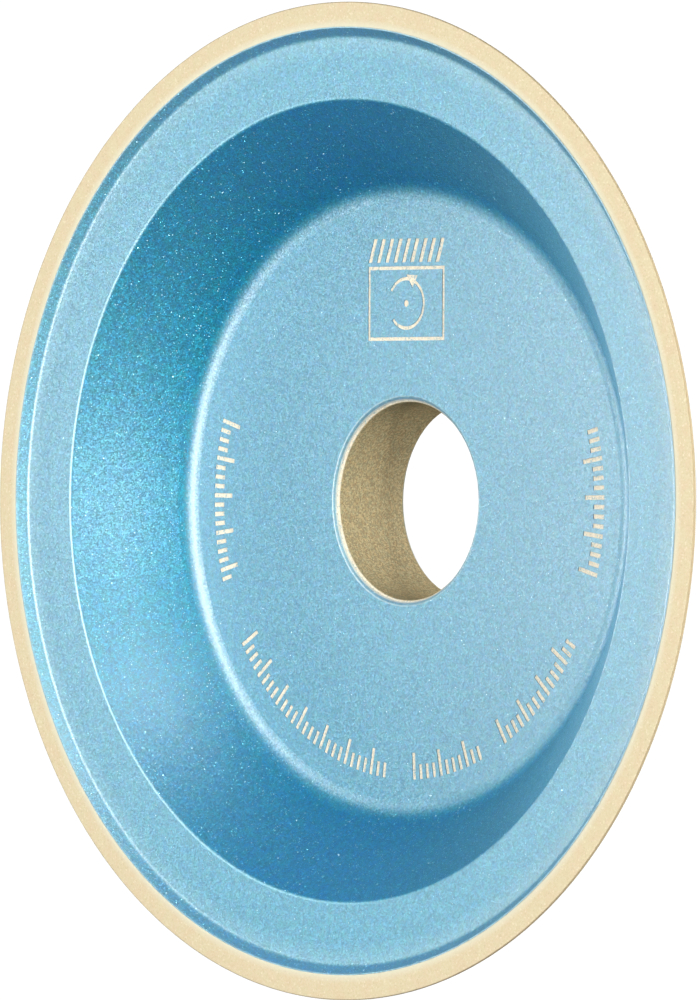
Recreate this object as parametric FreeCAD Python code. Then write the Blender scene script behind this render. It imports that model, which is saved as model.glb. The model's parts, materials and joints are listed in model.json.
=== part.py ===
import FreeCAD, Part

import math
import os

# Diamond dish wheel with a 45 degree taper, for face grinding of tools and saws.
#
# Frame: the wheel turns about Y. The abrasive face looks towards -Y and the back towards +Y.
# Every profile below is a half section in the XY plane: x is the radius, y is along the axis.
# y = 0 is the hub's clamping face inside the dish, so the wheel reaches from y = -T/2 to y = +T/2.

# ---- driving dimensions, millimetres and degrees ----
WHEEL_DIAMETER = 100.0
WHEEL_THICKNESS = 20.0
BORE_DIAMETER = 20.0
HUB_THICKNESS = 10.0
RIM_WIDTH = 2.5             # the abrasive face, measured along the radius
RIM_DEPTH = 3.0             # the diamond layer, measured along the axis
FOUNDATION_DEPTH = 1.5      # the layer without diamond, under the rim
OUTER_LAND = 0.3            # short cylinder that trues the wheel's outside
STEP_DEPTH = 0.82           # how far the rim stands proud of the foot of its inner flank
RING_FALL = 0.23            # how far the ring inside that foot falls on its way to the dish's edge
DISH_EDGE_RADIUS = 40.22    # where that ring turns down into the dish's cone
HUB_EDGE_RADIUS = 31.65     # where the cone would meet the hub face without the fillet
HUB_FILLET = 3.0            # between the dish's cone and the hub face
DISH_EDGE_ROUND = 0.5
STEP_FOOT_FILLET = 0.7
BACK_EDGE_ROUND = 0.6
BORE_CHAMFER = 0.5
BORE_LIP_ROUND = 0.3        # where the chamfer meets the lacquered faces
CHAMFER_COATED = 0.3        # how far down the chamfer the lacquer reaches
LACQUER = 0.08              # thickness of the lacquer film

# Marks cut through the lacquer on the hub face. Angles run anticlockwise from +X, seen from the front.
PANEL_STROKE = 0.35
SCALE_OUTER_RADIUS = 28.1
TICK_WIDTH = 0.45
LONG_TICK = 2.7
SHORT_TICK = 1.5
TICKS_PER_LONG = 4
TICK_PITCH = 2.0            # degrees between ticks
SCALE_ARCS = [(163.0, 197.0), (212.0, 264.0), (273.0, 293.0), (301.0, 329.0), (345.0, 375.0)]
PANEL_WIDTH = 11.0
PANEL_BOTTOM = 16.2
PANEL_TOP = 23.7
HATCH_BOTTOM = 24.1
HATCH_TOP = 26.5
HATCH_COUNT = 9
HATCH_STROKE = 0.55
HATCH_LEAN = 0.8            # how far the top of each stroke leans to the right
ARROW_RADIUS = 2.5          # the turning arrow inside the panel
ARROW_START = -60.0
ARROW_SWEEP = 290.0
ARROW_HEAD = 1.5

# ---- values that follow from them ----
OUTER_RADIUS = WHEEL_DIAMETER / 2
BORE_RADIUS = BORE_DIAMETER / 2
FACE_Y = -WHEEL_THICKNESS / 2
BACK_Y = WHEEL_THICKNESS / 2
HUB_Y = BACK_Y - HUB_THICKNESS
STEP_FOOT_Y = FACE_Y + STEP_DEPTH
DISH_EDGE_Y = STEP_FOOT_Y + RING_FALL
RIM_FOOT_Y = FACE_Y + RIM_DEPTH
FOUNDATION_FOOT_Y = RIM_FOOT_Y + FOUNDATION_DEPTH

# On a 45 degree line the radius plus y is constant. These are the two flanks of the rim.
DIAGONAL = math.sqrt(2.0)
SLANTED_FILM = LACQUER * DIAGONAL
CORNER_SHIFT = SLANTED_FILM - LACQUER
INNER_FLANK = OUTER_RADIUS - RIM_WIDTH + FACE_Y
OUTER_FLANK = OUTER_RADIUS + FACE_Y + OUTER_LAND
STEP_FLANK = INNER_FLANK - SLANTED_FILM
LIP_RADIUS = BORE_RADIUS + BORE_CHAMFER
FILM_END_RADIUS = LIP_RADIUS - CHAMFER_COATED
CUT_DEPTH = 3 * LACQUER     # the marks' cutters reach through the film and a little past it

AXIS_POINT = FreeCAD.Vector(0, 0, 0)
AXIS = FreeCAD.Vector(0, 1, 0)


def on_flank(flank, y):
    """The radius of a 45 degree flank at a height y."""
    return flank - y


def rounded_wire(corners):
    """A closed wire through (radius, y, rounding) corners, with an arc at each rounded one."""
    points = [FreeCAD.Vector(radius, y, 0) for radius, y, rounding in corners]
    count = len(corners)
    arcs = []
    for index, (radius, y, rounding) in enumerate(corners):
        corner = points[index]
        before = (points[index - 1] - corner).normalize()
        after = (points[(index + 1) % count] - corner).normalize()
        if rounding == 0:
            arcs.append((corner, None, corner))
            continue
        half_angle = before.getAngle(after) / 2
        reach = rounding / math.tan(half_angle)
        centre = corner + (before + after).normalize() * (rounding / math.sin(half_angle))
        middle = centre + (corner - centre).normalize() * rounding
        arcs.append((corner + before * reach, middle, corner + after * reach))
    edges = []
    for index, (start, middle, end) in enumerate(arcs):
        if middle is not None:
            edges.append(Part.Arc(start, middle, end).toShape())
        next_start = arcs[(index + 1) % count][0]
        edges.append(Part.LineSegment(end, next_start).toShape())
    return Part.Wire(edges)


def turned(corners):
    """The solid that a half section sweeps about the wheel's axis."""
    return Part.Face(rounded_wire(corners)).revolve(AXIS_POINT, AXIS, 360)


def sunk(before, corner, after, film):
    """The corner of two straight stretches of surface, moved into the wheel by film."""
    normals = []
    for start, end in ((before, corner), (corner, after)):
        along = FreeCAD.Vector(end[0] - start[0], end[1] - start[1], 0).normalize()
        normals.append(FreeCAD.Vector(-along.y, along.x, 0))
    mitre = (normals[0] + normals[1]) * (film / (1 + normals[0].dot(normals[1])))
    return corner[0] + mitre.x, corner[1] + mitre.y


def dish_corners(film):
    """The dish's surface from the hub out to the foot of the rim, sunk into the wheel by film."""
    bore_edge = (BORE_RADIUS, HUB_Y)
    hub_edge = (HUB_EDGE_RADIUS, HUB_Y)
    dish_edge = (DISH_EDGE_RADIUS, DISH_EDGE_Y)
    step_foot = (on_flank(STEP_FLANK, STEP_FOOT_Y), STEP_FOOT_Y)
    step_top = (on_flank(STEP_FLANK, FACE_Y), FACE_Y)
    foot_fillet = STEP_FOOT_FILLET if film == 0 else 0
    return [
        sunk(bore_edge, hub_edge, dish_edge, film) + (HUB_FILLET + film,),
        sunk(hub_edge, dish_edge, step_foot, film) + (DISH_EDGE_ROUND - film,),
        sunk(dish_edge, step_foot, step_top, film) + (foot_fillet,),
    ]


def core_body():
    """The moulded composite body: hub, conical web and the seat that carries the rim."""
    chamfer = BORE_CHAMFER + SLANTED_FILM
    corners = [
        (BORE_RADIUS, BACK_Y - chamfer, 0),
        (BORE_RADIUS, HUB_Y + chamfer, 0),
        (LIP_RADIUS + CORNER_SHIFT, HUB_Y + LACQUER, BORE_LIP_ROUND - LACQUER),
    ]
    corners += dish_corners(LACQUER)
    corners += [
        (on_flank(INNER_FLANK, FOUNDATION_FOOT_Y), FOUNDATION_FOOT_Y, 0),
        (on_flank(OUTER_FLANK - SLANTED_FILM, FOUNDATION_FOOT_Y), FOUNDATION_FOOT_Y, 0),
        (on_flank(OUTER_FLANK, BACK_Y) - CORNER_SHIFT, BACK_Y - LACQUER, BACK_EDGE_ROUND - LACQUER),
        (LIP_RADIUS + CORNER_SHIFT, BACK_Y - LACQUER, BORE_LIP_ROUND - LACQUER),
    ]
    return turned(corners)


def abrasive_rim():
    """The diamond layer: a ring of slanted section whose flat face does the grinding."""
    return turned([
        (on_flank(INNER_FLANK, FACE_Y), FACE_Y, 0),
        (OUTER_RADIUS, FACE_Y, 0),
        (OUTER_RADIUS, FACE_Y + OUTER_LAND, 0),
        (on_flank(OUTER_FLANK, RIM_FOOT_Y), RIM_FOOT_Y, 0),
        (on_flank(INNER_FLANK, RIM_FOOT_Y), RIM_FOOT_Y, 0),
    ])


def foundation_ring():
    """The resin layer without diamond that ties the rim to the body."""
    outside = OUTER_FLANK - SLANTED_FILM
    return turned([
        (on_flank(INNER_FLANK, RIM_FOOT_Y), RIM_FOOT_Y, 0),
        (on_flank(outside, RIM_FOOT_Y), RIM_FOOT_Y, 0),
        (on_flank(outside, FOUNDATION_FOOT_Y), FOUNDATION_FOOT_Y, 0),
        (on_flank(INNER_FLANK, FOUNDATION_FOOT_Y), FOUNDATION_FOOT_Y, 0),
    ])


def upright_bar(x, z, width, height):
    """A bar on the hub face, centred on x and z, deep enough to cut through the film."""
    corner = FreeCAD.Vector(x - width / 2, HUB_Y - LACQUER, z - height / 2)
    return Part.makeBox(width, CUT_DEPTH, height, corner)


def flat_outline(points):
    """A prism on the hub face from its (x, z) outline, deep enough to cut through the film."""
    corners = [FreeCAD.Vector(x, HUB_Y - LACQUER, z) for x, z in points]
    face = Part.Face(Part.makePolygon(corners + corners[:1]))
    return face.extrude(FreeCAD.Vector(0, CUT_DEPTH, 0))


def scale_marks():
    """Short radial ticks in arcs round the hub, with every few of them longer."""
    marks = []
    for start, end in SCALE_ARCS:
        count = int(round((end - start) / TICK_PITCH)) + 1
        for index in range(count):
            length = LONG_TICK if index % TICKS_PER_LONG == 0 else SHORT_TICK
            tick = upright_bar(SCALE_OUTER_RADIUS - length / 2, 0, length, TICK_WIDTH)
            angle = start + index * (end - start) / (count - 1)
            tick.rotate(AXIS_POINT, AXIS, -angle)
            marks.append(tick)
    return marks


def hatch_marks():
    """A row of slanted strokes above the panel."""
    marks = []
    step = (PANEL_WIDTH - HATCH_LEAN - HATCH_STROKE) / (HATCH_COUNT - 1)
    for index in range(HATCH_COUNT):
        left = -PANEL_WIDTH / 2 + index * step
        marks.append(flat_outline([
            (left, HATCH_BOTTOM),
            (left + HATCH_STROKE, HATCH_BOTTOM),
            (left + HATCH_LEAN + HATCH_STROKE, HATCH_TOP),
            (left + HATCH_LEAN, HATCH_TOP),
        ]))
    return marks


def panel_marks():
    """A plain rectangular frame with a turning arrow inside it."""
    height = PANEL_TOP - PANEL_BOTTOM
    middle = (PANEL_TOP + PANEL_BOTTOM) / 2
    outside = upright_bar(0, middle, PANEL_WIDTH, height)
    inside = upright_bar(0, middle, PANEL_WIDTH - 2 * PANEL_STROKE, height - 2 * PANEL_STROKE)
    centre = FreeCAD.Vector(0, HUB_Y - LACQUER, middle)
    inner_radius = ARROW_RADIUS - PANEL_STROKE / 2
    outer_radius = ARROW_RADIUS + PANEL_STROKE / 2
    sweep = Part.makeCylinder(outer_radius, CUT_DEPTH, centre, AXIS, ARROW_SWEEP)
    bow = sweep.cut(Part.makeCylinder(inner_radius, CUT_DEPTH, centre, AXIS))
    bow.rotate(centre, AXIS, ARROW_START)
    head = flat_outline([
        (ARROW_RADIUS - ARROW_HEAD / 2, middle),
        (ARROW_RADIUS + ARROW_HEAD / 2, middle),
        (ARROW_RADIUS, middle + ARROW_HEAD),
    ])
    head.rotate(centre, AXIS, ARROW_START)
    dot = Part.makeCylinder(PANEL_STROKE, CUT_DEPTH, centre, AXIS)
    return [outside.cut(inside), bow, head, dot]


def front_lacquer():
    """The film over the hub face, the dish and the rim's inner flank, with the marks cut out of it."""
    corners = [
        (FILM_END_RADIUS, HUB_Y + CHAMFER_COATED, 0),
        (LIP_RADIUS, HUB_Y, BORE_LIP_ROUND),
    ]
    corners += dish_corners(0)
    corners += [
        (on_flank(STEP_FLANK, FACE_Y), FACE_Y, 0),
        (on_flank(INNER_FLANK, FACE_Y), FACE_Y, 0),
    ]
    corners += dish_corners(LACQUER)[::-1]
    corners += [
        (LIP_RADIUS + CORNER_SHIFT, HUB_Y + LACQUER, BORE_LIP_ROUND - LACQUER),
        (FILM_END_RADIUS + SLANTED_FILM / 2, HUB_Y + CHAMFER_COATED + SLANTED_FILM / 2, 0),
    ]
    marks = scale_marks() + hatch_marks() + panel_marks()
    return turned(corners).cut(marks)


def back_lacquer():
    """The film over the back face and the outer cone, up to the diamond layer."""
    return turned([
        (on_flank(OUTER_FLANK, RIM_FOOT_Y), RIM_FOOT_Y, 0),
        (on_flank(OUTER_FLANK, BACK_Y), BACK_Y, BACK_EDGE_ROUND),
        (LIP_RADIUS, BACK_Y, BORE_LIP_ROUND),
        (FILM_END_RADIUS, BACK_Y - CHAMFER_COATED, 0),
        (FILM_END_RADIUS + SLANTED_FILM / 2, BACK_Y - CHAMFER_COATED - SLANTED_FILM / 2, 0),
        (LIP_RADIUS + CORNER_SHIFT, BACK_Y - LACQUER, BORE_LIP_ROUND - LACQUER),
        (on_flank(OUTER_FLANK, BACK_Y) - CORNER_SHIFT, BACK_Y - LACQUER, BACK_EDGE_ROUND - LACQUER),
        (on_flank(OUTER_FLANK - SLANTED_FILM, RIM_FOOT_Y), RIM_FOOT_Y, 0),
    ])


os.makedirs("parts", exist_ok=True)
for make_part in (core_body, foundation_ring, abrasive_rim, front_lacquer, back_lacquer):
    make_part().exportStep("parts/" + make_part.__name__ + ".step")
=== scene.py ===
import json
import math

import bpy
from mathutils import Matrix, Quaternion, Vector, noise


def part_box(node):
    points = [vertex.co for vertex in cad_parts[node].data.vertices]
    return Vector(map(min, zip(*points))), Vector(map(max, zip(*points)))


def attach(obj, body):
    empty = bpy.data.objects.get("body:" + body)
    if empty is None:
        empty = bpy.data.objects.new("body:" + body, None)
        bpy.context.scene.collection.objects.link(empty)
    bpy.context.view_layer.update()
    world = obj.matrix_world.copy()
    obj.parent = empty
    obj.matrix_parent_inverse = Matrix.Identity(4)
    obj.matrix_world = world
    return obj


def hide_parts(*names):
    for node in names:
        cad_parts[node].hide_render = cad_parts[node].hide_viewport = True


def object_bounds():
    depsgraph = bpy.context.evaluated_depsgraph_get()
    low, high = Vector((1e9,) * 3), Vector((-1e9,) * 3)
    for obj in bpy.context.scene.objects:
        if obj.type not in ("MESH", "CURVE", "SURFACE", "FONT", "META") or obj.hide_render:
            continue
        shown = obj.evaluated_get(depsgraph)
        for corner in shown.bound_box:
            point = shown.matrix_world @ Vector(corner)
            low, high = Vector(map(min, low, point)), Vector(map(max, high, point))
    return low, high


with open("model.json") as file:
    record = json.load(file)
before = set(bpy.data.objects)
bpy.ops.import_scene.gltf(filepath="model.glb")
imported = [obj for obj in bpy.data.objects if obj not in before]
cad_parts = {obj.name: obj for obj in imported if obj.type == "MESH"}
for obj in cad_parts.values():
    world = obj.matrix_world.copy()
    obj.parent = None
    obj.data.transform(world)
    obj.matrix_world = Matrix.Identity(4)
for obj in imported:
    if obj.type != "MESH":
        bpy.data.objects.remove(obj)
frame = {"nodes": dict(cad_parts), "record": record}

CAD_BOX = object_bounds()

MM = 0.001


# ---------------------------------------------------------------- sizes read from the CAD frame
def span(node):
    """The largest radius of a node and its lowest and highest y."""
    low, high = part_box(node)
    return high.x, low.y, high.y


OUTER_RADIUS, FACE_Y, RIM_FOOT_Y = span("abrasive_rim")
STEP_RADIUS = span("front_lacquer")[0]
BORE_RADIUS = next(m for m in frame["record"]["mounts"] if m["name"] == "bore")["dims"]["r_mm"] * MM
LIP_RADIUS = BORE_RADIUS + 0.5 * MM
HUB_RADIUS = 31.65 * MM  # of the hub face, where the cone begins
DISH_EDGE_RADIUS = 40.22 * MM  # where the cone ends and the flat ring begins
BUMP_DEPTH = 0.03 * MM
DRY_SPECULAR = 0.3


# ---------------------------------------------------------------- node helpers
class Nodes:
    """A material's node tree with short calls for the few kinds of node used here."""

    def __init__(self, name):
        self.material = bpy.data.materials.new(name)
        self.material.use_nodes = True
        self.tree = self.material.node_tree
        self.tree.nodes.clear()

    def add(self, kind, inputs=None, **settings):
        node = self.tree.nodes.new(kind)
        for key, value in settings.items():
            setattr(node, key, value)
        for key, value in (inputs or {}).items():
            self.set(node, key, value)
        return node

    def set(self, node, key, value):
        socket = node.inputs[key]
        if isinstance(value, bpy.types.NodeSocket):
            self.tree.links.new(value, socket)
        else:
            socket.default_value = value

    def math(self, operation, a, b=0.0):
        return self.add("ShaderNodeMath", {0: a, 1: b}, operation=operation).outputs[0]

    def vector(self, operation, a, b=(0, 0, 0)):
        return self.add("ShaderNodeVectorMath", {0: a, 1: b}, operation=operation).outputs[0]

    def scaled(self, vector, factor):
        node = self.add("ShaderNodeVectorMath", {0: vector, "Scale": factor}, operation="SCALE")
        return node.outputs[0]

    def tilted(self, normal, sideways, amount):
        return self.vector("NORMALIZE", self.vector("ADD", normal, self.scaled(sideways, amount)))

    def ramp(self, value, low, high, to_low=0.0, to_high=1.0):
        node = self.add("ShaderNodeMapRange", {"Value": value, "From Min": low, "From Max": high,
                                               "To Min": to_low, "To Max": to_high})
        return node.outputs[0]

    def product(self, first, *others):
        for other in others:
            first = self.math("MULTIPLY", first, other)
        return first

    def largest(self, first, *others):
        for other in others:
            first = self.math("MAXIMUM", first, other)
        return first

    def off(self, value, target):
        """How far a value is from a target, either way."""
        return self.math("ABSOLUTE", self.math("SUBTRACT", value, target))

    # A Mix node has a pair of inputs for each type: 4 and 5 are its vectors, 6 and 7 its colours.
    def mix(self, factor, a, b):
        return self.add("ShaderNodeMix", {"Factor": factor, 6: a, 7: b}, data_type="RGBA").outputs[2]

    def mix_vectors(self, factor, a, b):
        return self.add("ShaderNodeMix", {"Factor": factor, 4: a, 5: b}, data_type="VECTOR").outputs[1]

    def place(self):
        return self.add("ShaderNodeTexCoord").outputs["Object"]

    def axes(self, vector):
        return self.add("ShaderNodeSeparateXYZ", {"Vector": vector}).outputs

    def channels(self, colour):
        return self.add("ShaderNodeSeparateColor", {"Color": colour}).outputs

    def noise(self, place, grain, detail, roughness=0.5):
        node = self.add("ShaderNodeTexNoise", {"Vector": place, "Scale": 1 / grain, "Detail": detail,
                                               "Roughness": roughness})
        return node.outputs[0]

    def cells(self, place, grain):
        """A random colour for each cell, the distance from its middle and where that middle is."""
        node = self.add("ShaderNodeTexVoronoi", {"Vector": place, "Scale": 1 / grain})
        return node.outputs["Color"], node.outputs["Distance"], node.outputs["Position"]

    def bump(self, height, strength):
        node = self.add("ShaderNodeBump", {"Height": height, "Strength": strength, "Distance": BUMP_DEPTH})
        return node.outputs[0]

    def facing(self):
        """0 where a surface is seen square on, 1 where it is seen edge on."""
        return self.add("ShaderNodeLayerWeight", {"Blend": 0.5}).outputs["Facing"]

    def finish(self, **inputs):
        shader = self.add("ShaderNodeBsdfPrincipled", {k.replace("_", " "): v for k, v in inputs.items()})
        self.tree.links.new(shader.outputs[0], self.add("ShaderNodeOutputMaterial").inputs["Surface"])
        return self.material


def srgb(red, green, blue):
    """A shader's colour from the 0 to 255 levels of a picture."""
    def linear(value):
        value /= 255
        return value / 12.92 if value <= 0.04045 else ((value + 0.055) / 1.055) ** 2.4
    return linear(red), linear(green), linear(blue), 1.0


# ---------------------------------------------------------------- materials
def radius_of(n, place):
    """Distance from the wheel's axis at each point of a surface, in metres."""
    flat = n.vector("MULTIPLY", place, (1, 0, 1))
    return n.add("ShaderNodeVectorMath", {0: flat}, operation="LENGTH").outputs["Value"]


# The lacquer is a slightly greener blue seen square on than on a slope seen at a slant.
LACQUER_FACE = (0.002, 0.301, 0.433, 1.0)
LACQUER_SLANT = (0.002, 0.283, 0.528, 1.0)
# Pale colour of thin lacquer, and of the painted highlight and painted reflection that share it.
LACQUER_THIN_AND_SHEEN = (0.55, 0.60, 0.56, 1.0)
LACQUER_BARE = (0.6, 0.6, 0.5, 1.0)
# Pale cyan of the painted highlight along the dish's edge.
EDGE_HIGHLIGHT_CYAN = (0.3, 0.7, 0.8, 1.0)
GREENER = (1.0, 1.05, 0.95, 1.0)
BLUER = (1.0, 0.95, 1.05, 1.0)
FLAKE_SIZE = 0.12 * MM
FLAKE_TILT = 0.5
FLAKE_ROUGHNESS = 0.734
GLINT_CYAN = (0.12, 0.5, 0.62, 1.0)
GLINT_SILVER = (0.48, 0.7, 0.77, 1.0)
GLINT_SIZE = 0.17 * MM
GLINT_REACH = 0.34
GLINT_TILT = 1.5
GLINT_ROUGHNESS = 0.56
DARKEST_SLANT = 0.74
COAT_TILT = 0.12
COAT_ROUGHNESS = 0.421
COAT_IOR = 2.97
COAT_WEIGHT = 0.67
THIN_AND_SHEEN_COAT_WEIGHT = 0.4
HALF = (0.5, 0.5, 0.5)


def fine_flakes(n, place, normal):
    """Fine flakes lie nearly flat. Gives a random shade, their normal and the normal of the coat."""
    flake, _, _ = n.cells(place, FLAKE_SIZE)
    sideways = n.vector("SUBTRACT", flake, HALF)
    shade = n.ramp(n.channels(flake)[1], 0.0, 1.0, -1.0, 1.0)
    return shade, n.tilted(normal, sideways, FLAKE_TILT), n.tilted(normal, sideways, COAT_TILT)


def glints(n, place, normal, slope):
    """Some larger flakes stand at an angle. Gives where they are, their colour and their normal."""
    cell, reach, middle = n.cells(place, GLINT_SIZE)
    chance = n.channels(cell)
    rare = n.ramp(slope, 0.0, 1.0, 0.97, 0.82)
    where = n.product(n.math("GREATER_THAN", chance[0], rare), n.math("LESS_THAN", reach, GLINT_REACH))
    colour = n.mix(n.ramp(chance[1], 0.6, 0.9), GLINT_CYAN, GLINT_SILVER)
    swing = n.add("ShaderNodeTexWhiteNoise", {"Vector": middle}).outputs["Color"]
    return where, colour, n.tilted(normal, n.vector("SUBTRACT", swing, HALF), GLINT_TILT)


def flake_blue(n, place, slope, slant, shade):
    """The blue between the glints, with a cloudy tinge, the grain of the fine flakes and painted shade on
    the slopes.
    """
    deepened = n.product(n.ramp(slant, 0.03, 0.4), n.ramp(slant, 0.5, 0.9, 1.0, 0.4))
    blue = n.mix(n.product(slope, deepened), LACQUER_FACE, LACQUER_SLANT)
    wander = n.ramp(n.noise(place, 0.9 * MM, 2.0), 0.35, 0.65)
    tinged = n.vector("MULTIPLY", blue, n.mix(wander, GREENER, BLUER))
    cloud = n.ramp(n.noise(place, 0.5 * MM, 3.0), 0.3, 0.7, 0.88, 1.02)
    grain = n.math("ADD", 1.0, n.product(n.ramp(slope, 0.0, 1.0, 0.22, 0.3), shade))
    # Painted shade, fitted to the photo: a slope is darkened most where it is seen about 75 degrees off
    # its normal.
    slant_shade = n.product(slope, n.ramp(n.off(slant, DARKEST_SLANT), 0.0, 0.22, 0.18, 0.0))
    return n.scaled(tinged, n.product(cloud, grain, n.math("SUBTRACT", 1.0, slant_shade)))


def thin_lacquer_and_sheen(n, radius, depth):
    """Where the lacquer is thin or paled by painted highlight and painted reflection, and where it is
    missing, from 0 to 1.
    """
    # Over the bore's lip there is a pale line of painted highlight, and the spray thins to a greyer band
    # on the chamfer and bare composite.
    lip_highlight = n.ramp(n.off(radius, LIP_RADIUS + 0.06 * MM), 0.15 * MM, 0.03 * MM, 0.0, 0.42)
    chamfer = n.ramp(radius, LIP_RADIUS + 0.02 * MM, LIP_RADIUS - 0.08 * MM, 0.0, 0.38)
    bare = n.ramp(radius, LIP_RADIUS - 0.13 * MM, LIP_RADIUS - 0.22 * MM, 0.0, 0.85)
    # It also thins at the top of the rim's flank; by the foot of the step a painted reflection of the rim
    # pales it.
    crest = n.ramp(depth, FACE_Y + 0.3 * MM, FACE_Y, 0.0, 0.3)
    rim_reflection = n.product(n.ramp(radius, STEP_RADIUS - 3.2 * MM, STEP_RADIUS - 1.4 * MM, 0.0, 0.16),
                    n.ramp(depth, FACE_Y + 1.3 * MM, FACE_Y + 1.1 * MM))
    return n.largest(lip_highlight, chamfer, bare, crest, rim_reflection), bare


def dish_edge_highlight(n, axes, radius):
    """A painted highlight: a pale line along the left half of the dish's edge."""
    line = n.ramp(n.off(radius, DISH_EDGE_RADIUS + 0.14 * MM), 0.16 * MM, 0.02 * MM, 0.0, 0.42)
    at_front = n.ramp(axes["Y"], FACE_Y + 1.9 * MM, FACE_Y + 1.6 * MM)
    return n.product(line, at_front, n.ramp(axes["X"], 12.0 * MM, -8.0 * MM))


def coat_sheen_and_shade(n, axes, radius, slope, slant):
    """How strongly the clear coat reflects beside its mean, which is 1, with painted sheen and painted
    shade. Fitted to the photo.
    """
    # On the slopes painted shade dulls it in the corner round the hub, and painted sheen makes it glossier
    # further out and at a slant.
    corner = n.ramp(slant, 0.1, 0.8, -0.45, 0.1)
    slope_sheen_and_shade = n.ramp(radius, HUB_RADIUS + 0.8 * MM, HUB_RADIUS + 5.0 * MM, corner, 0.1)
    # On the faces painted sheen makes it glossier at the sides than at the top and bottom, and most at the
    # right.
    side = n.product(axes["X"], 1 / OUTER_RADIUS)
    up = n.product(axes["Z"], 1 / OUTER_RADIUS)
    bowed = n.product(n.math("SUBTRACT", n.product(side, side), n.product(up, up)), 0.22)
    leaning = n.math("ADD", n.product(side, 0.09), n.product(up, 0.06))
    face_sheen = n.product(n.math("SUBTRACT", 1.0, slope), n.math("ADD", bowed, leaning))
    return n.math("ADD", 1.0, n.math("ADD", n.product(slope, slope_sheen_and_shade), face_sheen))


def lacquer_material():
    n = Nodes("blue_flake_lacquer")
    place = n.place()
    axes = n.axes(place)
    radius = radius_of(n, place)
    slant = n.facing()
    normal = n.add("ShaderNodeNewGeometry").outputs["Normal"]
    # 0 on the faces, which the spray meets straight on, and 1 on the cones and steeper slopes.
    slope = n.ramp(n.math("ABSOLUTE", n.axes(normal)["Y"]), 0.97, 0.76)

    shade, fine_normal, coat_normal = fine_flakes(n, place, normal)
    glint, glint_colour, glint_normal = glints(n, place, normal, slope)
    full = n.mix(glint, flake_blue(n, place, slope, slant, shade), glint_colour)
    # Painted highlight: a pale line along the left half of the dish's edge.
    highlit = n.mix(dish_edge_highlight(n, axes, radius), full, EDGE_HIGHLIGHT_CYAN)
    # This mask of thin lacquer also carries the painted highlight over the bore's lip and the painted
    # reflection by the step's foot.
    thin_and_sheen, bare = thin_lacquer_and_sheen(n, radius, axes["Y"])
    colour = n.mix(thin_and_sheen, highlit, n.mix(bare, LACQUER_THIN_AND_SHEEN, LACQUER_BARE))
    # The coat's weight carries painted sheen and painted shade.
    weight = n.product(n.ramp(thin_and_sheen, 0.0, 1.0, COAT_WEIGHT, THIN_AND_SHEEN_COAT_WEIGHT),
                       coat_sheen_and_shade(n, axes, radius, slope, slant))
    return n.finish(Base_Color=colour, Metallic=n.ramp(thin_and_sheen, 0.0, 1.0, 1.0, 0.0),
                    Roughness=n.ramp(glint, 0.0, 1.0, FLAKE_ROUGHNESS, GLINT_ROUGHNESS),
                    Normal=n.mix_vectors(glint, fine_normal, glint_normal),
                    Coat_Weight=weight, Coat_Roughness=COAT_ROUGHNESS, Coat_IOR=COAT_IOR,
                    Coat_Normal=coat_normal)


BOND_WARM = srgb(199, 182, 151)
BOND_PALE = srgb(198, 188, 154)
BOND_DEEP = srgb(180, 161, 123)
BOND_EDGE = srgb(203, 200, 178)
BOND_OUTER_DARK = srgb(128, 114, 86)
GRIT_DARK = srgb(120, 98, 66)
GRIT_LIGHT = srgb(255, 248, 226)
GRAIN_SIZE = 0.16 * MM


def abrasive_material():
    n = Nodes("diamond_bond")
    place = n.place()
    radius = radius_of(n, place)
    grain, reach, _ = n.cells(place, GRAIN_SIZE)
    chance = n.channels(grain)
    bond = n.mix(n.ramp(n.noise(place, 1.4 * MM, 2.0), 0.3, 0.7), BOND_WARM, BOND_PALE)
    sandy = n.mix(n.ramp(chance[0], 0.0, 1.0, 0.0, 0.3), bond, BOND_DEEP)
    dotted = n.mix(n.product(n.math("GREATER_THAN", chance[1], 0.95), 0.14), sandy, GRIT_DARK)
    gritty = n.mix(n.product(n.math("GREATER_THAN", chance[2], 0.95), 0.13), dotted, GRIT_LIGHT)
    # The bond is paler next to the lacquer and darker along its outer edge.
    inner_edge = n.ramp(radius, STEP_RADIUS + 0.1 * MM, STEP_RADIUS + 0.8 * MM, 0.8, 0.0)
    outer_edge = n.ramp(radius, OUTER_RADIUS - 0.13 * MM, OUTER_RADIUS - 0.04 * MM, 0.0, 0.85)
    colour = n.mix(outer_edge, n.mix(inner_edge, gritty, BOND_EDGE), BOND_OUTER_DARK)
    height = n.math("ADD", n.noise(place, 0.12 * MM, 4.0, 0.7), n.product(reach, 0.3))
    return n.finish(Base_Color=colour, Roughness=n.ramp(chance[0], 0.0, 1.0, 0.65, 0.85),
                    Normal=n.bump(height, 0.2), Specular_IOR_Level=DRY_SPECULAR)


COMPOSITE_PALE = srgb(238, 226, 202)
COMPOSITE_DEEP = srgb(130, 119, 89)
FOUNDATION_PALE = srgb(190, 170, 130)
FOUNDATION_DEEP = srgb(150, 130, 95)
WARMER = (1.07, 0.99, 0.92, 1.0)
COOLER = (0.93, 1.0, 1.03, 1.0)
FILLER_SIZE = 0.15 * MM
FILLER_BRIGHTER = 1.9
COMPOSITE_ROUGHNESS = 0.75


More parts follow.
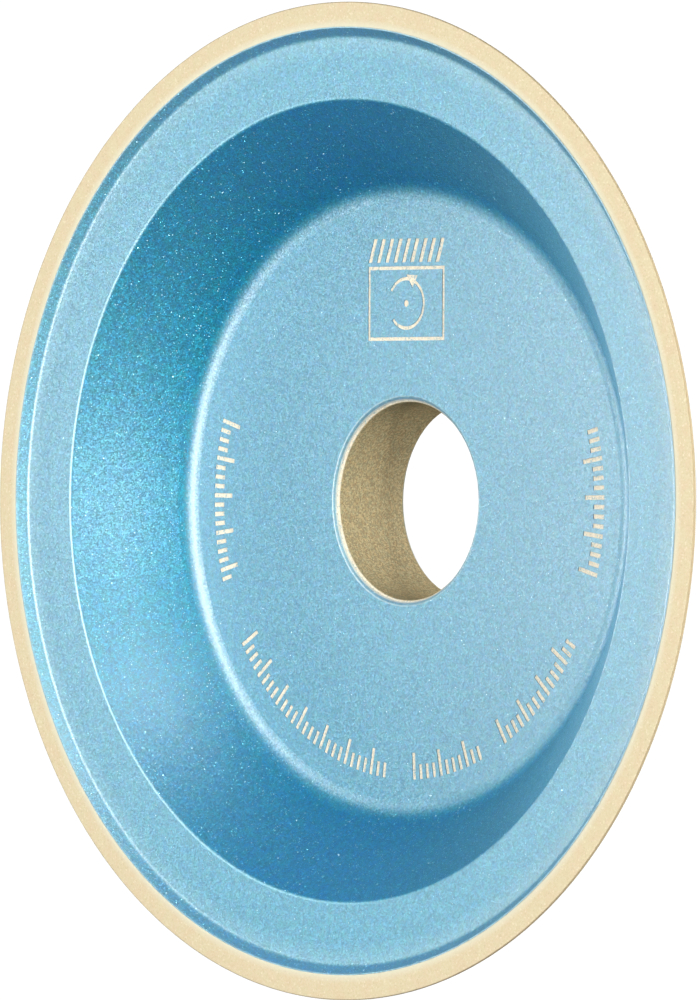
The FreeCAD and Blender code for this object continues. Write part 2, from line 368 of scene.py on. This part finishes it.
def composite_material(name, pale, deep):
    """Moulded resin with filler grains: pale where it is moulded, and darker on the machined bore wall,
    partly its own tone and partly painted shade in the bore.
    """
    n = Nodes(name)
    place = n.place()
    radius = radius_of(n, place)
    grain, reach, _ = n.cells(place, FILLER_SIZE)
    chance = n.channels(grain)

    filler = n.product(chance[0], n.noise(place, 0.25 * MM, 4.0, 0.7))
    filler_colour = tuple(FILLER_BRIGHTER * c for c in deep[:3]) + (1.0,)
    cut = n.mix(n.ramp(filler, 0.1, 0.6), deep, filler_colour)
    pitted = n.mix(n.product(n.math("GREATER_THAN", chance[1], 0.9), 0.55), cut, GRIT_DARK)
    wander = n.ramp(n.noise(place, 0.45 * MM, 3.0), 0.35, 0.65)
    machined_and_shaded = n.vector("MULTIPLY", pitted, n.mix(wander, WARMER, COOLER))

    # Specks of lacquer stay behind where the marks were taken out of it.
    moulded = n.mix(n.ramp(chance[0], 0.0, 1.0, 0.0, 0.3), pale, deep)
    residue = n.product(n.ramp(n.noise(place, 0.22 * MM, 3.0), 0.55, 0.68, 0.0, 0.6),
                        n.math("LESS_THAN", radius, HUB_RADIUS))
    marked = n.mix(residue, moulded, LACQUER_FACE)

    # Painted shade in part: the bore wall's darker colour also stands in for the shade inside the bore.
    wall = n.ramp(radius, BORE_RADIUS + 0.02 * MM, BORE_RADIUS + 0.1 * MM, 1.0, 0.0)
    height = n.math("ADD", n.noise(place, 0.15 * MM, 4.0, 0.7), n.product(reach, 0.4))
    return n.finish(Base_Color=n.mix(wall, marked, machined_and_shaded), Roughness=COMPOSITE_ROUGHNESS,
                    Normal=n.bump(height, 0.4), Specular_IOR_Level=DRY_SPECULAR)


MATERIALS = {
    "lacquer": lacquer_material(),
    "abrasive": abrasive_material(),
    "composite": composite_material("composite", COMPOSITE_PALE, COMPOSITE_DEEP),
    "foundation": composite_material("foundation", FOUNDATION_PALE, FOUNDATION_DEEP),
}
SLOTS = {part["node"]: part["material_slot"] for part in frame["record"]["subparts"]}
for name, node in frame["nodes"].items():
    for slot in node.material_slots:
        slot.material = MATERIALS[SLOTS[name]]


# ---------------------------------------------------------------- turned pieces with a real grain
SEAM_TOLERANCE = 1e-7
SHARP_ANGLE = math.radians(50)
STRAIGHT_COSINE = -0.95
LONGEST_CUT = 0.4  # of a side, by the rounding of a corner
ARC_STEPS = 4


def section(node):
    """The half section of a turned CAD node: (radius, y) corners in order, from the seam in its mesh."""
    mesh = frame["nodes"][node].data
    on_seam = {}
    for vertex in mesh.vertices:
        x, y, z = vertex.co
        if abs(z) < SEAM_TOLERANCE and x > 0:
            on_seam[vertex.index] = (round(x, 7), round(y, 7))
    follows = {}
    for edge in mesh.edges:
        a, b = edge.vertices
        if a in on_seam and b in on_seam and on_seam[a] != on_seam[b]:
            follows.setdefault(on_seam[a], set()).add(on_seam[b])
            follows.setdefault(on_seam[b], set()).add(on_seam[a])
    start = min(follows)
    outline = [start]
    previous, current = None, start
    while True:
        ahead = sorted(p for p in follows[current] if p != previous)
        previous, current = current, ahead[0]
        if current == start:
            return outline
        outline.append(current)


def refined(outline, step):
    """The outline with extra points, no further apart than step says for a stretch."""
    points = []
    for index, start in enumerate(outline):
        end = outline[(index + 1) % len(outline)]
        length = math.dist(start, end)
        count = max(1, math.ceil(length / step(start, end)))
        for part in range(count):
            share = part / count
            points.append((start[0] + (end[0] - start[0]) * share, start[1] + (end[1] - start[1]) * share))
    return points


def rounded(outline, radius):
    """The outline with each sharp corner replaced by a short arc."""
    points = []
    for index, corner in enumerate(outline):
        here = Vector(corner)
        before = Vector(outline[index - 1]) - here
        after = Vector(outline[(index + 1) % len(outline)]) - here
        if before.normalized().dot(after.normalized()) < STRAIGHT_COSINE:
            points.append(corner)
            continue
        reach = min(radius, before.length * LONGEST_CUT, after.length * LONGEST_CUT)
        first = here + before.normalized() * reach
        last = here + after.normalized() * reach
        for step in range(ARC_STEPS + 1):
            share = step / ARC_STEPS
            bow = first.lerp(here, share).lerp(here.lerp(last, share), share)
            points.append((bow.x, bow.y))
    return points


def turned(name, outline, turns, relief, material, node):
    """A solid of revolution about Y. relief(point) gives how deep the surface dips there."""
    count = len(outline)
    outward = []
    for index in range(count):
        along = Vector(outline[(index + 1) % count]) - Vector(outline[index - 1])
        outward.append(Vector((along.y, -along.x)).normalized())
    area = sum(outline[i - 1][0] * outline[i][1] - outline[i][0] * outline[i - 1][1] for i in range(count))
    side = 1 if area > 0 else -1
    vertices = []
    for turn in range(turns):
        angle = 2 * math.pi * turn / turns
        cos, sin = math.cos(angle), math.sin(angle)
        for (radius, y), way in zip(outline, outward):
            dip = relief(Vector((radius * cos, y, radius * sin)))
            r = radius - way.x * side * dip
            vertices.append((r * cos, y - way.y * side * dip, r * sin))
    faces = []
    for turn in range(turns):
        this, following = turn * count, (turn + 1) % turns * count
        for index in range(count):
            ahead = (index + 1) % count
            face = (this + index, this + ahead, following + ahead, following + index)
            faces.append(face if side > 0 else face[::-1])
    mesh = bpy.data.meshes.new(name)
    mesh.from_pydata(vertices, [], faces)
    mesh.polygons.foreach_set("use_smooth", [True] * len(faces))
    mesh.set_sharp_from_angle(angle=SHARP_ANGLE)
    mesh.materials.append(material)
    piece = bpy.data.objects.new(name, mesh)
    bpy.context.scene.collection.objects.link(piece)
    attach(piece, "root")
    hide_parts(node)


RIM_TURNS = 1400
EDGE_ROUNDING = 0.12 * MM
GRIT_SIZE = 0.22 * MM
GRIT_DIP = 0.014 * MM
FACE_STEP = 0.22 * MM
SEATED_STEP = 1.5 * MM
SEAT_Y = RIM_FOOT_Y - 0.01 * MM


def grit_relief(point):
    """Grit stands in the bond: the dressed surface dips between the grains. The seat is smooth."""
    if point.y > SEAT_Y:
        return 0.0
    return GRIT_DIP * (0.5 + 0.5 * noise.noise(point / GRIT_SIZE))


def rim_step(start, end):
    """Points stand close enough for the grit, and wide apart on the hidden seat."""
    return SEATED_STEP if start[1] > SEAT_Y and end[1] > SEAT_Y else FACE_STEP


rim_outline = refined(rounded(section("abrasive_rim"), EDGE_ROUNDING), rim_step)
turned("abrasive_rim_grit", rim_outline, RIM_TURNS, grit_relief,
       MATERIALS["abrasive"], "abrasive_rim")


# ---------------------------------------------------------------- floor, light and camera
def direction(azimuth, elevation):
    a, e = math.radians(azimuth), math.radians(elevation)
    return Vector((math.sin(a) * math.cos(e), -math.cos(a) * math.cos(e), math.sin(e)))


def softbox(name, azimuth, elevation, distance, size, power):
    data = bpy.data.lights.new(name, "AREA")
    data.shape = "RECTANGLE"
    data.size, data.size_y = size
    data.energy = power
    lamp = bpy.data.objects.new(name, data)
    way = direction(azimuth, elevation)
    lamp.location = way * distance
    lamp.rotation_mode = "QUATERNION"
    lamp.rotation_quaternion = way.to_track_quat("Z", "Y")
    lamp.visible_camera = False
    bpy.context.scene.collection.objects.link(lamp)
    return lamp


def shine_on(lamp, names):
    """Flags a lamp off everything but the objects named."""
    lit = bpy.data.collections.new(lamp.name + "_lit")
    for name in names:
        lit.objects.link(bpy.data.objects[name])
    lamp.light_linking.receiver_collection = lit


# name: azimuth and elevation in degrees, distance, (width, height) in metres, watts
SOFTBOXES = {
    "key": (78.88, 2.98, 0.744, (0.218, 0.185), 11.132),
    "rake": (90.83, 5.66, 1.000, (0.249, 0.150), 1.767),
    "front": (-13.62, 2.32, 2.000, (0.909, 1.104), 30.608),
    "left": (-79.79, 0.83, 1.405, (0.500, 0.210), 4.836),
    "top": (26.07, 41.73, 1.053, (0.478, 0.355), 2.246),
    "upper_left": (-41.76, 12.86, 1.000, (0.400, 0.300), 0.587),
    "lower_left": (-55.71, -13.30, 1.000, (0.400, 0.250), 0.151),
    "near": (58.96, 14.16, 1.137, (0.150, 0.150), 0.176),
    "near_left": (-23.90, 5.02, 0.439, (0.124, 0.341), 0.507),
    "bore": (121.0, -16.0, 1.0, (0.3, 2.2), 13.2),
    "bore_high": (128.0, 48.0, 1.0, (0.6, 0.6), 9.0),
    "bore_low": (60.0, -55.0, 1.0, (0.4, 0.4), 1.6),
    "back": (165.0, 4.0, 2.0, (0.9, 1.1), 42.0),
    "back_side": (-125.0, 35.0, 1.0, (0.5, 0.6), 4.0),
}

# Lamps that would glare off another side, and what they light instead.
RIM = ("foundation_ring", "abrasive_rim_grit")
FLAGGED = {
    "rake": ("core_body", "front_lacquer") + RIM,
    "key": ("core_body", "front_lacquer") + RIM,
    "bore": ("core_body",),
    "bore_high": ("core_body",),
    "bore_low": ("core_body",),
    "back": ("back_lacquer",) + RIM,
    "back_side": ("back_lacquer",) + RIM,
}
for key, setting in SOFTBOXES.items():
    lamp = softbox("softbox_" + key, *setting)
    if key in FLAGGED:
        shine_on(lamp, FLAGGED[key])

WHITE = (1, 1, 1, 1)
BACKDROP_STRENGTH = 1.05
AMBIENT_STRENGTH = 0.01


def studio_world():
    """White to the camera, and almost dark to the object, which the softboxes light."""
    world = bpy.data.worlds.new("studio")
    world.use_nodes = True
    bpy.context.scene.world = world
    tree = world.node_tree
    tree.nodes.clear()
    path = tree.nodes.new("ShaderNodeLightPath")
    both = tree.nodes.new("ShaderNodeMixShader")
    tree.links.new(path.outputs["Is Camera Ray"], both.inputs[0])
    for socket, strength in ((1, AMBIENT_STRENGTH), (2, BACKDROP_STRENGTH)):
        glow = tree.nodes.new("ShaderNodeBackground")
        glow.inputs["Color"].default_value = WHITE
        glow.inputs["Strength"].default_value = strength
        tree.links.new(glow.outputs[0], both.inputs[socket])
    tree.links.new(both.outputs[0], tree.nodes.new("ShaderNodeOutputWorld").inputs[0])


studio_world()

FLOOR_COLOUR = (0.8, 0.8, 0.8, 1)
FLOOR_GLOW = 0.55
FLOOR_HALF = 1.5
FLOOR_FADE = (0.15, 0.6)
FLOOR_EDGE_ON = (0.8, 0.93)


def floor_material():
    """Pale and matt. It fades to the white backdrop with distance and where it is seen edge on."""
    n = Nodes("pale_floor")
    away = n.add("ShaderNodeVectorMath", {0: n.place()}, operation="LENGTH").outputs["Value"]
    clear = n.largest(n.ramp(away, *FLOOR_FADE), n.ramp(n.facing(), *FLOOR_EDGE_ON))
    diffuse = n.add("ShaderNodeBsdfDiffuse", {"Color": FLOOR_COLOUR})
    glow = n.add("ShaderNodeEmission", {"Color": WHITE, "Strength": FLOOR_GLOW})
    matt = n.add("ShaderNodeAddShader", {0: diffuse.outputs[0], 1: glow.outputs[0]})
    gone = n.add("ShaderNodeBsdfTransparent")
    both = n.add("ShaderNodeMixShader", {0: clear, 1: matt.outputs[0], 2: gone.outputs[0]})
    n.tree.links.new(both.outputs[0], n.add("ShaderNodeOutputMaterial").inputs["Surface"])
    return n.material


def floor():
    mesh = bpy.data.meshes.new("floor")
    corners = [(x * FLOOR_HALF, y * FLOOR_HALF, 0) for x, y in ((-1, -1), (1, -1), (1, 1), (-1, 1))]
    mesh.from_pydata(corners, [], [(0, 1, 2, 3)])
    mesh.materials.append(floor_material())
    ground = bpy.data.objects.new("floor", mesh)
    ground.location = (0, 0, CAD_BOX[0].z)
    ground.visible_shadow = False
    ground.visible_glossy = False
    ground.visible_diffuse = False
    bpy.context.scene.collection.objects.link(ground)


floor()

CAMERA_AZIMUTH = 45.979
CAMERA_ELEVATION = 0.101
CAMERA_ROLL = 0.251
CAMERA_DISTANCE = 0.9728
CAMERA_LENS = 349.54
CAMERA_SENSOR = 36.0
CAMERA_CLIP = (0.01, 100.0)
AIM_RIGHT = 1.456 * MM
AIM_UP = 0.095 * MM


def camera():
    data = bpy.data.cameras.new("camera")
    data.lens = CAMERA_LENS
    data.sensor_width = CAMERA_SENSOR
    data.clip_start, data.clip_end = CAMERA_CLIP
    cam = bpy.data.objects.new("camera", data)
    back = direction(CAMERA_AZIMUTH, CAMERA_ELEVATION)
    look = back.to_track_quat("Z", "Y")
    subject = Vector((0, FACE_Y, 0))
    place = subject + back * CAMERA_DISTANCE
    aim = subject + look @ Vector((AIM_RIGHT, AIM_UP, 0))
    cam.rotation_mode = "QUATERNION"
    cam.location = place
    roll = Quaternion((0, 0, 1), math.radians(CAMERA_ROLL))
    cam.rotation_quaternion = (place - aim).to_track_quat("Z", "Y") @ roll
    bpy.context.scene.collection.objects.link(cam)
    bpy.context.scene.camera = cam


camera()
bpy.context.scene.view_settings.view_transform = "Standard"
